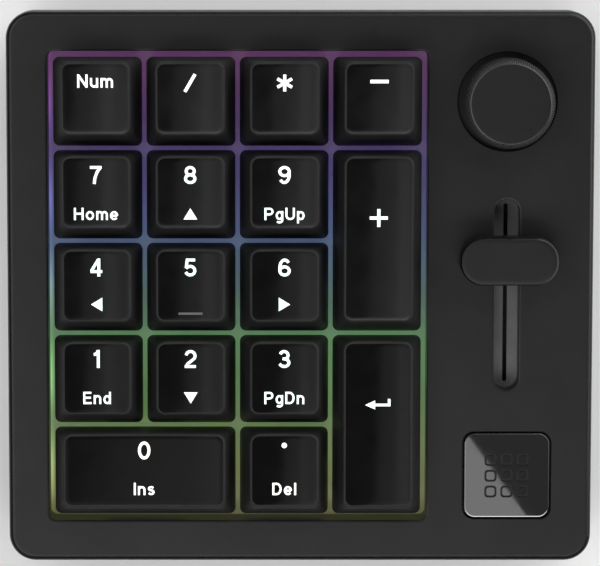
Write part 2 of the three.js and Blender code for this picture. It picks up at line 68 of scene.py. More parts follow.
scene = bpy.context.scene
cad_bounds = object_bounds()
record = frame["record"]
joints = {joint["name"]: joint for joint in record["behaviour"]["joints"]}

MILLIMETRE = 0.001
TO_METRES = Matrix.Scale(MILLIMETRE, 4)

across = Vector((1, 0, 0))
rearward = Vector(joints["slider_travel"]["axis"])
normal = Vector(joints["knob_turn"]["axis"])
TILT = Matrix((across, rearward, normal)).transposed().to_4x4()


def node_box(node, space):
    """Lowest and highest corner of a CAD node in the given space, in millimetres."""
    inverse = space.inverted()
    points = [inverse @ (vertex.co / MILLIMETRE) for vertex in frame["nodes"][node].data.vertices]
    return Vector(map(min, zip(*points))), Vector(map(max, zip(*points)))


case_low, case_high = node_box("top_case", TILT)
deck_centre = ((case_low.x + case_high.x) / 2, (case_low.y + case_high.y) / 2, case_high.z)
DECK = TILT @ Matrix.Translation(deck_centre)


def centre(node):
    low, high = node_box(node, DECK)
    return (low + high) / 2


# ---------------------------------------------------------------- Driving dimensions, in millimetres

KEYS = [
    # name, row from the rear, main legend, second legend
    ("num", 0, "Num", None),
    ("divide", 0, "slash", None),
    ("multiply", 0, "asterisk", None),
    ("minus", 0, "minus", None),
    ("7", 1, "7", "Home"),
    ("8", 1, "8", "up"),
    ("9", 1, "9", "PgUp"),
    ("plus", 1, "plus", None),
    ("4", 2, "4", "left"),
    ("5", 2, "5", "bar"),
    ("6", 2, "6", "right"),
    ("1", 3, "1", "End"),
    ("2", 3, "2", "down"),
    ("3", 3, "3", "PgDn"),
    ("enter", 3, "return", None),
    ("0", 4, "0", "Ins"),
    ("decimal", 4, "dot", "Del"),
]
TWO_UNIT_KEYS = ("plus", "enter", "0")
UNIT = centre("switch_8").x - centre("switch_7").x
# For each row from the rear: the height of the top face's rim over the skirt, its slope in degrees and
# how far it sits behind the middle of the skirt.
ROW_HEIGHTS = (10.9, 10.1, 9.6, 9.5, 9.7)
ROW_SLOPES = (6, 4, 1, -2, -4)
ROW_SET_BACKS = (1.1, 1.15, 1.2, 1.3, 1.4)

PLATE_TOP = node_box("switch_plate", DECK)[1].z
CAP_SKIRT = 6.3  # above the switch plate
CAP_CORNER = 1.3
CAP_TOP_CORNER = 1.9
CAP_SIDE_INSET = 2.05
CAP_DEPTH_INSET = 1.6
CAP_DISH = 0.7  # how much deeper the top's middle is than its sides
CAP_WALL = 1.4
CAP_ROOF = 1.7
CAP_FILLET = 0.5
FILLET_STEPS = 5
POST_RADIUS = 2.75
POST_BOTTOM = 6.0
STABILISER_OFFSET = 11.94
STABILISER_POST_BOTTOM = 8.8
STEM_SIZE = (6.8, 5.4)
INSERT_SIZE = (4.4, 4.4)

CASE_WIDTH = case_high.x - case_low.x
CASE_DEPTH = case_high.y - case_low.y
CASE_CORNER = 5.5
SKIRT = 9.0
DECK_THICKNESS = 3.0
CASE_WALL = 2.4
CASE_CHAMFER = 1.0
WELL_CORNER = 1.4
WELL_MARGIN = 1.23  # between the outer keycaps and the well's wall
COLLAR = 2.0


def deck_middle(*nodes):
    """The middle, width and depth of the deck-frame box round some nodes."""
    boxes = [node_box(node, DECK) for node in nodes]
    low = Vector(map(min, zip(*(box[0] for box in boxes))))
    high = Vector(map(max, zip(*(box[1] for box in boxes))))
    middle = (low + high) / 2
    return middle.x, middle.y, high.x - low.x, high.y - low.y


outer_keycaps = ("keycap_num", "keycap_minus", "keycap_0", "keycap_enter")
well_x, well_y, keys_width, keys_depth = deck_middle(*outer_keycaps)
WELL_WIDTH = keys_width + 2 * WELL_MARGIN
WELL_DEPTH = keys_depth + 2 * WELL_MARGIN
knob_x, knob_y, knob_width, _ = deck_middle("knob")
slot_x, slot_y, _, _ = deck_middle("slide_potentiometer")
badge_x, badge_y, badge_width, _ = deck_middle("badge")

# ---------------------------------------------------------------- Outlines and solids


def outline(width, depth, radius, x=0.0, y=0.0, steps=6, along_x=1, along_y=1):
    """A rounded rectangle, anticlockwise, with its straight edges divided into equal lengths."""
    sides = (along_y, along_x, along_y, along_x)
    corners = []
    for corner in range(4):
        right = 1 if corner in (0, 1) else -1
        rear = 1 if corner in (1, 2) else -1
        cx, cy = x + right * (width / 2 - radius), y + rear * (depth / 2 - radius)
        start = math.pi / 2 * (corner - 1)
        angles = [start + math.pi / 2 * step / steps for step in range(steps + 1)]
        corners.append([(cx + radius * math.cos(a), cy + radius * math.sin(a)) for a in angles])
    points = []
    for corner, arc in enumerate(corners):
        points += arc
        (x0, y0), (x1, y1) = arc[-1], corners[(corner + 1) % 4][0]
        for step in range(1, sides[corner]):
            t = step / sides[corner]
            points.append((x0 + t * (x1 - x0), y0 + t * (y1 - y0)))
    return points


def circle(radius, x=0.0, y=0.0, sides=64):
    angles = [2 * math.pi * i / sides for i in range(sides)]
    return [(x + radius * math.cos(a), y + radius * math.sin(a)) for a in angles]


class Solid:
    """A closed surface built up from rings of points; slot_index is the material of the faces to come."""

    def __init__(self, bm=None):
        self.bm = bm or bmesh.new()
        self.slot_index = 0

    def ring(self, points, z):
        """z is a height, or a function that gives the height at x and y."""
        height = z if callable(z) else lambda x, y: z
        return [self.bm.verts.new((x, y, height(x, y))) for x, y in points]

    def wall(self, first, second):
        """One band of faces between two rings with as many points."""
        for i, vertex in enumerate(first):
            j = (i + 1) % len(first)
            face = self.bm.faces.new((vertex, first[j], second[j], second[i]))
            face.material_index = self.slot_index

    def walls(self, *rings):
        """A band between each ring and the next; returns the last ring."""
        for first, second in zip(rings, rings[1:]):
            self.wall(first, second)
        return rings[-1]

    def cap(self, outer, *holes):
        """Fills a ring, round any holes in it."""
        rings = [outer, *holes]
        corners = [vertex for ring in rings for vertex in ring]
        for triangle in tessellate_polygon([[vertex.co for vertex in ring] for ring in rings]):
            face = self.bm.faces.new([corners[i] for i in triangle])
            face.material_index = self.slot_index


def add_piece(name, solid, materials, body, replaces=(), sharp_angle=34):
    """Turns a solid in the deck's frame into an object of the scene that rides on a body."""
    bm = solid.bm
    bmesh.ops.remove_doubles(bm, verts=bm.verts, dist=1e-4)
    bmesh.ops.recalc_face_normals(bm, faces=bm.faces)
    mesh = bpy.data.meshes.new(name)
    bm.to_mesh(mesh)
    bm.free()
    mesh.transform(TO_METRES @ DECK)
    mesh.polygons.foreach_set("use_smooth", [True] * len(mesh.polygons))
    mesh.set_sharp_from_angle(angle=math.radians(sharp_angle))
    for material in materials:
        mesh.materials.append(material)
    piece = bpy.data.objects.new(name, mesh)
    scene.collection.objects.link(piece)
    if replaces:
        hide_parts(*replaces)
    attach(piece, body)


# ---------------------------------------------------------------- Materials


# The Mix node's sockets when it mixes colours.
MIX_FIRST, MIX_SECOND, MIX_RESULT = 6, 7, 2


class Material:
    """A Principled material with procedural detail in the piece's own coordinates, in millimetres."""

    def __init__(self, name, color, roughness, metallic=0.0, specular=0.5):
        self.material = bpy.data.materials.new(name)
        self.material.use_nodes = True
        self.nodes = self.material.node_tree.nodes
        self.links = self.material.node_tree.links
        self.shader = self.nodes["Principled BSDF"]
        self.set("Base Color", (*color, 1))
        self.set("Roughness", roughness)
        self.set("Metallic", metallic)
        self.set("Specular IOR Level", specular)
        coordinates = self.nodes.new("ShaderNodeTexCoord")
        scale = self.nodes.new("ShaderNodeVectorMath")
        scale.operation = "SCALE"
        scale.inputs["Scale"].default_value = 1 / MILLIMETRE
        self.links.new(coordinates.outputs["Object"], scale.inputs[0])
        self.position = scale.outputs["Vector"]

    def set(self, socket, value):
        self.shader.inputs[socket].default_value = value

    def stretched(self, factors):
        node = self.nodes.new("ShaderNodeVectorMath")
        node.operation = "MULTIPLY"
        node.inputs[1].default_value = factors
        self.links.new(self.position, node.inputs[0])
        return node.outputs["Vector"]

    def noise(self, size, detail=3.0, roughness=0.55, vector=None):
        """Noise whose main features are about size millimetres across."""
        node = self.nodes.new("ShaderNodeTexNoise")
        node.inputs["Scale"].default_value = 1 / size
        node.inputs["Detail"].default_value = detail
        node.inputs["Roughness"].default_value = roughness
        self.links.new(vector or self.position, node.inputs["Vector"])
        return node.outputs["Fac"]

    def mapped(self, value, low, high, from_low=0.3, from_high=0.7):
        node = self.nodes.new("ShaderNodeMapRange")
        node.inputs["From Min"].default_value = from_low
        node.inputs["From Max"].default_value = from_high
        node.inputs["To Min"].default_value = low
        node.inputs["To Max"].default_value = high
        self.links.new(value, node.inputs["Value"])
        return node.outputs["Result"]

    def math(self, operation, first, second=0.0):
        node = self.nodes.new("ShaderNodeMath")
        node.operation = operation
        for socket, value in zip(node.inputs, (first, second)):
            if isinstance(value, (int, float)):
                socket.default_value = value
            else:
                self.links.new(value, socket)
        return node.outputs[0]

    def drive(self, socket, value):
        self.links.new(value, self.shader.inputs[socket])

    def blend(self, factor, first, second):
        """Takes the base colour from the first to the second as the factor goes from 0 to 1."""
        node = self.nodes.new("ShaderNodeMix")
        node.data_type = "RGBA"
        self.links.new(factor, node.inputs["Factor"])
        node.inputs[MIX_FIRST].default_value = (*first, 1)
        node.inputs[MIX_SECOND].default_value = (*second, 1)
        self.drive("Base Color", node.outputs[MIX_RESULT])

    def bump(self, height, distance, below=None):
        """distance is the height of the relief in millimetres."""
        node = self.nodes.new("ShaderNodeBump")
        node.inputs["Distance"].default_value = distance * MILLIMETRE
        self.links.new(height, node.inputs["Height"])
        if below is not None:
            self.links.new(below, node.inputs["Normal"])
        self.links.new(node.outputs["Normal"], self.shader.inputs["Normal"])
        return node.outputs["Normal"]


def grey(level):
    return (level, level, level)


def scaled(color, factor):
    return tuple(channel * factor for channel in color)


def blasted_aluminium(name, color, roughness, metallic, tone=0.07):
    """Bead-blasted, anodised metal: a fine pitted grain and a cloudy tone."""
    m = Material(name, color, roughness, metallic)
    clouds = m.noise(9, detail=4)
    speckle = m.noise(0.22, detail=2)
    both = m.math("ADD", clouds, m.math("MULTIPLY", speckle, 0.8))
    m.blend(m.mapped(both, 0, 1, 0.7, 1.1), scaled(color, 1 - tone), scaled(color, 1 + tone))
    m.drive("Roughness", m.mapped(m.noise(3, detail=5), roughness - 0.02, roughness + 0.025))
    grain = m.bump(m.noise(0.16, detail=2), 0.012)
    m.bump(m.noise(0.5, detail=2), 0.01, below=grain)
    return m.material


def polished_edge(name, color, roughness):
    m = Material(name, color, roughness, 1.0)
    m.drive("Roughness", m.mapped(m.noise(0.6), roughness - 0.04, roughness + 0.08))
    m.bump(m.noise(0.12), 0.002)
    return m.material


def moulded_plastic(name, color, roughness, grain=0.2, relief=0.008, tone=0.15, specular=0.5):
    m = Material(name, color, roughness, 0.0, specular)
    m.blend(m.mapped(m.noise(5, detail=4), 0, 1), scaled(color, 1 - tone), scaled(color, 1 + tone))
    m.drive("Roughness", m.mapped(m.noise(2.2, detail=5), roughness - 0.04, roughness + 0.05))
    m.bump(m.noise(grain, detail=3), relief)
    return m.material


def keycap_plastic():
    """Satin moulding, slightly glossier in random patches, with a faint moulded grain."""
    m = Material("keycap_satin", grey(0.003), 0.16, 0.0, 0.27)
    m.blend(m.mapped(m.noise(6, detail=3), 0, 1), grey(0.0024), grey(0.0038))
    smudges = m.noise(4.5, detail=5, roughness=0.6)
    m.drive("Roughness", m.mapped(smudges, 0.13, 0.19))
    fine = m.bump(m.noise(0.13, detail=2), 0.0012)
    m.bump(m.noise(1.6, detail=3), 0.003, below=fine)
    return m.material


def gloss_badge():
    """Polished metal, with no relief, so that the edge of what it mirrors stays sharp."""
    m = Material("badge_gloss", (0.3, 0.3, 0.304), 0.02, 1.0)
    m.drive("Roughness", m.mapped(m.noise(2.5, detail=5), 0.012, 0.025))
    m.blend(m.mapped(m.noise(0.3), 0, 1), (0.29, 0.29, 0.294), (0.31, 0.31, 0.314))
    return m.material


def glow(name, color):
    """The light-passing plastic of a legend, lit from under it."""
    m = Material(name, grey(0.6), 0.5)
    m.set("Emission Color", (*color, 1))
    m.set("Emission Strength", 1.0)
    m.blend(m.mapped(m.noise(1.2, detail=2), 0.9, 1.0), grey(0.4), grey(0.7))
    return m.material


def srgb(*levels):
    """A colour from display levels of 0 to 255 to linear light."""
    shares = [level / 255 for level in levels]
    return tuple(s / 12.92 if s <= 0.04045 else ((s + 0.055) / 1.055) ** 2.4 for s in shares)


# Colours of the light in the well, from the front edge (0) to the rear edge (1).
WELL_COLORS = [
    (0.00, srgb(92, 92, 46)),
    (0.06, srgb(122, 126, 76)),
    (0.14, srgb(124, 142, 88)),
    (0.24, srgb(108, 144, 88)),
    (0.38, srgb(104, 156, 100)),
    (0.46, srgb(92, 122, 108)),
    (0.54, srgb(86, 110, 130)),
    (0.62, srgb(78, 94, 142)),
    (0.72, srgb(80, 70, 128)),
    (0.84, srgb(80, 50, 110)),
    (0.93, srgb(96, 46, 104)),
    (1.00, srgb(104, 46, 108)),
]
WELL_STRENGTH = 0.55
# Painted highlight: how bright and how wide the strip of extra glow along the well's left wall is.
PAINTED_STRIP_STRENGTH = 1.7
PAINTED_STRIP_WIDTH = 0.9


def lit_plate():
    """White plate that spreads the light of the row of lamps under it, with a painted strip of brighter glow
    along the well's left wall, brightest once a row, that the wall mirrors as a painted highlight.
    """
    m = Material("plate_lit", grey(0.3), 0.5)
    low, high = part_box("switch_plate")
    parts = m.nodes.new("ShaderNodeSeparateXYZ")
    m.links.new(m.position, parts.inputs[0])
    along = m.mapped(parts.outputs["Y"], 0, 1, low.y / MILLIMETRE, high.y / MILLIMETRE)
    ramp = m.nodes.new("ShaderNodeValToRGB")
    m.links.new(along, ramp.inputs["Fac"])
    elements = ramp.color_ramp.elements
    while len(elements) < len(WELL_COLORS):
        elements.new(0.5)
    for element, (position, color) in zip(elements, WELL_COLORS):
        element.position = position
        element.color = (*color, 1)
    m.drive("Emission Color", ramp.outputs["Color"])
    wave = m.math("COSINE", m.math("MULTIPLY", parts.outputs["Y"], 2 * math.pi / (UNIT * rearward.y)))
    # Painted highlight: extra glow in a strip by the well's left wall, so that the wall shows a bright line.
    left_wall = well_x - WELL_WIDTH / 2
    near_left = m.mapped(parts.outputs["X"], 1, 0, left_wall, left_wall + PAINTED_STRIP_WIDTH)
    painted_strip = m.math("MULTIPLY", near_left, m.mapped(wave, 0.25, 1, -1, 1))
    steady = m.math("ADD", m.math("MULTIPLY", painted_strip, PAINTED_STRIP_STRENGTH), WELL_STRENGTH)
    m.drive("Emission Strength", m.math("ADD", steady, m.mapped(m.noise(6), -0.05, 0.05)))
    m.bump(m.noise(0.3), 0.01)
    return m.material


def painted_board():
    m = Material("board_mask", (0.01, 0.035, 0.02), 0.35)
    tracks = m.noise(1.2, detail=1, vector=m.stretched((1, 4, 1)))
    m.blend(m.mapped(tracks, 0, 1, 0.5, 0.52), (0.006, 0.025, 0.015), (0.012, 0.05, 0.03))
    m.bump(tracks, 0.02)
    return m.material


def plated_steel():
    m = Material("steel_plated", (0.55, 0.55, 0.57), 0.32, 1.0)
    brushed = m.noise(0.25, detail=4, vector=m.stretched((1, 12, 1)))
    m.drive("Roughness", m.mapped(brushed, 0.24, 0.42))
    m.bump(brushed, 0.003)
    return m.material


CASE = blasted_aluminium("case_blasted", (0.0255, 0.0255, 0.026), 0.42, 0.8)
CASE_EDGE = polished_edge("case_edge", (0.034, 0.034, 0.035), 0.3)
# Painted light: the knob's ribbed side is lighter and less metallic than its face, so that the side looks
# lit.
KNOB_SIDE_PAINTED_LIGHT = blasted_aluminium("knob_side_painted_light", (0.065, 0.065, 0.066), 0.5, 0.15)
KNOB_EDGE = polished_edge("knob_edge", (0.06, 0.06, 0.062), 0.28)
KEYCAP = keycap_plastic()
# Painted light: the keycaps' sides and rounded edges get a lighter plastic than their tops, so that the
# sides look lit.
KEYCAP_SIDE_PAINTED_LIGHT = moulded_plastic("keycap_side_painted_light", grey(0.017), 0.5, grain=0.13, relief=0.006, specular=0.2)
# Painted light: the walls of the well and the slot get a lighter, glossier copy of the case metal, so that
# they look bright.
CASE_WALL_PAINTED_LIGHT = blasted_aluminium("case_wall_painted_light", grey(0.12), 0.3, 0.9)
LEGENDS = [
    glow("legend_rear", srgb(252, 248, 255)),
    glow("legend_row_2", srgb(228, 250, 250)),
    glow("legend_row_3", srgb(220, 252, 250)),
    glow("legend_row_4", srgb(225, 250, 240)),
    glow("legend_front", srgb(255, 252, 240)),
]
BAR = moulded_plastic("homing_bar", grey(0.11), 0.45)
BADGE = gloss_badge()
BADGE_EDGE = polished_edge("badge_edge", (0.07, 0.07, 0.072), 0.25)
PLATE = lit_plate()
BOTTOM = moulded_plastic("bottom_moulding", (0.014, 0.014, 0.015), 0.55, grain=0.35, relief=0.02)
RUBBER = moulded_plastic("foot_rubber", grey(0.012), 0.8, grain=0.5, relief=0.02)
MILKY = moulded_plastic("switch_milky", (0.55, 0.57, 0.6), 0.4)
STEM = moulded_plastic("stem_amber", (0.32, 0.16, 0.05), 0.4)
STEEL = plated_steel()
SHIELD = moulded_plastic("dust_shield", (0.14, 0.14, 0.142), 0.6, grain=0.15, relief=0.02)
BOARD = painted_board()
WRAP = moulded_plastic("battery_wrap", (0.03, 0.05, 0.09), 0.35, grain=2, relief=0.03)
NUB = moulded_plastic("nub_grey", (0.12, 0.12, 0.125), 0.5)

# ---------------------------------------------------------------- Top case

FLAT_BORDER = 0.3  # keeps the shading of a wide flat face true next to a rounded edge
SLOT_WIDTH = 5.15
SLOT_LENGTH = 39.4
SLOT_COLLAR = 1.5
SLOT_BOTTOM = -4.7
BADGE_RECESS = 18.2
BADGE_CORNER = 2.3
BADGE_RECESS_DEPTH = 1.6
KNOB_RECESS = 10.1
KNOB_RECESS_DEPTH = 1.8
BUSHING_HOLE = 3.9
BOSS_RADIUS = 2.0
BOSS_HOLE = 1.2
BOSS_END = -12.0
BOSS_HOLE_TOP = -6.5
SCREWS = [node for node in frame["nodes"] if node.startswith("case_screw_")]
LIP = 0.25  # the rounded edge of the well and of the slot
FINE_LIP = 0.15  # the same for the recesses of the badge and the knob
COLLAR_GAP = 0.2  # between the well's collar and the switch plate


def top_case():
    """The deck with its skirt, the collars round the well and the slot, two recesses and four bosses."""
    solid = Solid()

    def case_ring(inset, z):
        width, depth = CASE_WIDTH - 2 * inset, CASE_DEPTH - 2 * inset
        return solid.ring(outline(width, depth, CASE_CORNER - inset, steps=12), z)

    outer_foot = case_ring(0.3, -SKIRT)
    side = solid.walls(outer_foot, case_ring(0, 0.3 - SKIRT), case_ring(0, -CASE_CHAMFER - 0.15))
    solid.slot_index = 1
    shoulder = solid.walls(
        side,
        case_ring(CASE_CHAMFER * 0.2, -CASE_CHAMFER * 0.55),
        case_ring(CASE_CHAMFER * 0.5, -CASE_CHAMFER * 0.26),
        case_ring(CASE_CHAMFER * 0.95, -CASE_CHAMFER * 0.04),
    )
    solid.slot_index = 0
    flat_edge = CASE_CHAMFER + 0.2
    rim = solid.walls(shoulder, case_ring(flat_edge, 0), case_ring(flat_edge + FLAT_BORDER, 0))
    under = -DECK_THICKNESS

    def opening(points_at, bottom, collar):
        """An opening through the deck, its walls in a lighter copy of the case metal, painted light: returns
        its mouth and the collar's foot under the deck.
        """
        mouth = solid.ring(points_at(LIP + FLAT_BORDER), 0)
        solid.wall(mouth, solid.ring(points_at(LIP), 0))
        lip = solid.walls(
            solid.ring(points_at(LIP), 0),
            solid.ring(points_at(LIP * 0.3), -LIP * 0.3),
            solid.ring(points_at(0), -LIP),
        )
        # The opening's wall takes the lighter wall metal: painted light.
        solid.slot_index = 2
        foot = solid.walls(lip, solid.ring(points_at(0), bottom))
        solid.slot_index = 0
        collar_foot = solid.ring(points_at(collar), bottom)
        solid.wall(foot, collar_foot)
        return mouth, solid.walls(collar_foot, solid.ring(points_at(collar), under))

    def well_points(grow):
        width, depth = WELL_WIDTH + 2 * grow, WELL_DEPTH + 2 * grow
        return outline(width, depth, WELL_CORNER + grow, well_x, well_y, steps=8)

    def slot_points(grow):
        width, depth = SLOT_WIDTH + 2 * grow, SLOT_LENGTH + 2 * grow
        return outline(width, depth, width / 2, slot_x, slot_y, steps=12)

    well_mouth, well_collar = opening(well_points, PLATE_TOP + COLLAR_GAP, COLLAR)
    slot_mouth, slot_collar = opening(slot_points, SLOT_BOTTOM, SLOT_COLLAR)

    def badge_ring(grow, z):
        size = BADGE_RECESS + 2 * grow
        return solid.ring(outline(size, size, BADGE_CORNER + grow, badge_x, badge_y, steps=8), z)

    badge_mouth = badge_ring(FINE_LIP, 0)
    solid.cap(solid.walls(badge_mouth, badge_ring(0, -FINE_LIP), badge_ring(0, -BADGE_RECESS_DEPTH)))

    def knob_ring(radius, z):
        return solid.ring(circle(radius, knob_x, knob_y, 96), z)

    knob_mouth = knob_ring(KNOB_RECESS + FINE_LIP, 0)
    bushing_foot = solid.walls(
        knob_mouth,
        knob_ring(KNOB_RECESS, -FINE_LIP),
        knob_ring(KNOB_RECESS, -KNOB_RECESS_DEPTH),
        knob_ring(BUSHING_HOLE, -KNOB_RECESS_DEPTH),
        knob_ring(BUSHING_HOLE, under),
    )

    solid.cap(rim, well_mouth, slot_mouth, badge_mouth, knob_mouth)

    bosses = []
    for screw in SCREWS:
        x, y, _ = centre(screw)
        root = solid.ring(circle(BOSS_RADIUS, x, y, 32), under)
        end = solid.walls(root, solid.ring(circle(BOSS_RADIUS, x, y, 32), BOSS_END))
        hole = solid.ring(circle(BOSS_HOLE, x, y, 32), BOSS_END)
        solid.wall(end, hole)
        solid.cap(solid.walls(hole, solid.ring(circle(BOSS_HOLE, x, y, 32), BOSS_HOLE_TOP)))
        bosses.append(root)

    inner_root = solid.walls(outer_foot, case_ring(CASE_WALL, -SKIRT), case_ring(CASE_WALL, under))
    solid.cap(inner_root, well_collar, slot_collar, bushing_foot, *bosses)
    materials = [CASE, CASE_EDGE, CASE_WALL_PAINTED_LIGHT]
    add_piece("case_top_shell", solid, materials, "chassis", ["top_case"], sharp_angle=28)


top_case()

# ---------------------------------------------------------------- Keycaps, stems and legends


def key_geometry(name, row):
    """The keycap's middle, its size at the skirt and the height of its top face as a function."""
    x, y, width, depth = deck_middle("keycap_" + name)
    half = width / 2 - CAP_SIDE_INSET
    dish_radius = (half**2 + CAP_DISH**2) / (2 * CAP_DISH)
    rim = PLATE_TOP + CAP_SKIRT + ROW_HEIGHTS[row]
    slope = math.tan(math.radians(ROW_SLOPES[row]))

    def crown(px, py):
        reach = min(abs(px - x), half)
        hollow = dish_radius - math.sqrt(dish_radius**2 - reach**2)
        return rim - CAP_DISH + hollow + (py - y - ROW_SET_BACKS[row]) * slope

    return x, y, width, depth, crown


def keycap(name, row):
    """A hollow keycap with a dished, sloping top, rounded at its edge, and its posts."""
    x, y, width, depth, crown = key_geometry(name, row)
    set_back = ROW_SET_BACKS[row]
    skirt = PLATE_TOP + CAP_SKIRT
    along_x = 10 if width < UNIT else 22  # enough divisions for the dish to look round
    along_y = 6 if depth < UNIT else 14
    solid = Solid()

    def section(t, inset=0.0):
        """The outside's outline at the fraction t of its height, brought in by inset."""
        w = width - 2 * CAP_SIDE_INSET * t - 2 * inset
        d = depth - 2 * CAP_DEPTH_INSET * t - 2 * inset
        corner = CAP_CORNER + (CAP_TOP_CORNER - CAP_CORNER) * t - inset
        corner = max(0.0, min(corner, w / 2, d / 2))
        return outline(w, d, corner, x, y + set_back * t, 5, along_x, along_y)

    def side_ring(t, inset=0.0):
        return solid.ring(section(t, inset), lambda px, py: skirt + t * (crown(px, py) - skirt))

    lip = side_ring(0, 0.12)
    rings = [lip, solid.ring(section(0, 0.03), skirt + 0.06)]
    rings += [side_ring(t) for t in (0.012, 0.35, 0.68, 1 - CAP_FILLET / ROW_HEIGHTS[row])]
    for step in range(1, FILLET_STEPS + 1):
        angle = math.pi / 2 * step / FILLET_STEPS
        inset = CAP_FILLET * (1 - math.cos(angle)) - CAP_FILLET * 0.2 * (1 - math.sin(angle))
        drop = CAP_FILLET * (1 - math.sin(angle))
        rings.append(solid.ring(section(1, inset), lambda px, py: crown(px, py) - drop))
    # The sides and the rounded edge take the lighter side plastic: painted light.
    solid.slot_index = 1
    solid.walls(*rings)

    innermost = min(width - 2 * CAP_SIDE_INSET, depth - 2 * CAP_DEPTH_INSET) / 2
    face = [rings[-1]]
    for part in (0.12, 0.26, 0.42, 0.6, 0.8, 1.0):
        inset = CAP_FILLET + (innermost - CAP_FILLET) * part
        face.append(solid.ring(section(1, inset), crown))
    solid.slot_index = 0
    solid.walls(*face)

    ceiling = skirt + ROW_HEIGHTS[row] - CAP_DISH - CAP_ROOF
    solid.slot_index = 1

    def inside(t, z):
        w = (width - 2 * CAP_WALL) * (1 - 2 * CAP_SIDE_INSET / width * t)
        d = (depth - 2 * CAP_WALL) * (1 - 2 * CAP_DEPTH_INSET / depth * t)
        return solid.ring(outline(w, d, CAP_CORNER / 2, x, y + set_back * 0.7 * t, 5, along_x, along_y), z)

    roof = solid.walls(
        lip,
        inside(0, skirt),
        inside(0.5, (skirt + ceiling) / 2),
        inside(0.96, ceiling - 0.3),
        inside(1.04, ceiling),
    )
    posts = []
    for px, py, bottom in post_places(name, x, y):
        root = solid.ring(circle(POST_RADIUS, px, py, 24), ceiling)
        end = solid.walls(root, solid.ring(circle(POST_RADIUS, px, py, 24), PLATE_TOP + bottom + 0.2))
        solid.cap(solid.walls(end, solid.ring(circle(POST_RADIUS - 0.2, px, py, 24), PLATE_TOP + bottom)))
        posts.append(root)
    solid.cap(roof, *posts)
    replaced = ["keycap_" + name]
    add_piece("cap_" + name, solid, [KEYCAP, KEYCAP_SIDE_PAINTED_LIGHT], "key_" + name, replaced, 40)


def post_places(name, x, y):
    """x, y and lower end, above the plate, of each post under a keycap."""
    places = [(x, y, POST_BOTTOM)]
    if name in TWO_UNIT_KEYS:
        for side in (-1, 1):
            dx, dy = (side * STABILISER_OFFSET, 0) if name == "0" else (0, side * STABILISER_OFFSET)
            places.append((x + dx, y + dy, STABILISER_POST_BOTTOM))
    return places


def stems(name, row):
    """The switch's moving stem under the middle post, and the stabiliser's inserts under the others."""
    x, y, *_ = key_geometry(name, row)
    solid = Solid()
    sizes = (STEM_SIZE, INSERT_SIZE, INSERT_SIZE)
    for (px, py, top), (width, depth) in zip(post_places(name, x, y), sizes):
        foot = solid.ring(outline(width - 0.6, depth - 0.6, 0.3, px, py, 3), PLATE_TOP + 1)
        solid.cap(foot)
        solid.cap(
            solid.walls(
                foot,
                solid.ring(outline(width, depth, 0.5, px, py, 3), PLATE_TOP + 1.3),
                solid.ring(outline(width, depth, 0.5, px, py, 3), PLATE_TOP + top - 0.3),
                solid.ring(outline(width - 0.5, depth - 0.5, 0.3, px, py, 3), PLATE_TOP + top - 0.01),
            )
        )
    add_piece("stem_" + name, solid, [STEM], "key_" + name)


# Heights over the key's top face, and places from its middle: rises go rearward, drops towards the front.
LEGEND_PROUD = 0.02
LEGEND_DEPTH = 0.25
LEGEND_SLICE = 0.8  # legends are cut this often across, so that they bend with the dish
SLICE_OFFSET = 0.013  # keeps the cuts off the letters' own upright edges
BAR_PROUD = 0.3
BAR_DROP = 5.66
DOT_RISE = 5.11
MAIN_RISES = (3.62, 3.61, 3.75, 3.96, 4.09)
SYMBOL_RISES = {"slash": 3.22, "asterisk": 3.22, "minus": 3.52, "plus": 4.42, "return": 4.03}
SECOND_DROPS = (3.8, 4.32, 3.81, 4.0, 3.77)
DIGIT_HEIGHT = 3.66
WORD_HEIGHT = 2.51
NUM_HEIGHT = 2.69
LETTER_GAP = 0.16
LETTER_STRETCH = 1.1
SYMBOL_STROKE = 0.65

# Letters are drawn as centre lines, in a square whose side is the height of a capital. HALF is half the
# stroke, so a line at HALF stands on the baseline and one at 1 - HALF reaches the top of a capital.
HALF = 0.08
X_HEIGHT = 0.73


def arc(x, y, width, height, start, end, steps=10):
    """Points along an ellipse; the angles are in degrees, anticlockwise from the right."""
    angles = [math.radians(start + (end - start) * i / steps) for i in range(steps + 1)]
    return [(x + width * math.cos(a), y + height * math.sin(a)) for a in angles]


def turned(strokes, x, y):
    """The strokes turned half round about x and y."""
    return [[(2 * x - px, 2 * y - py) for px, py in points] for points in strokes]


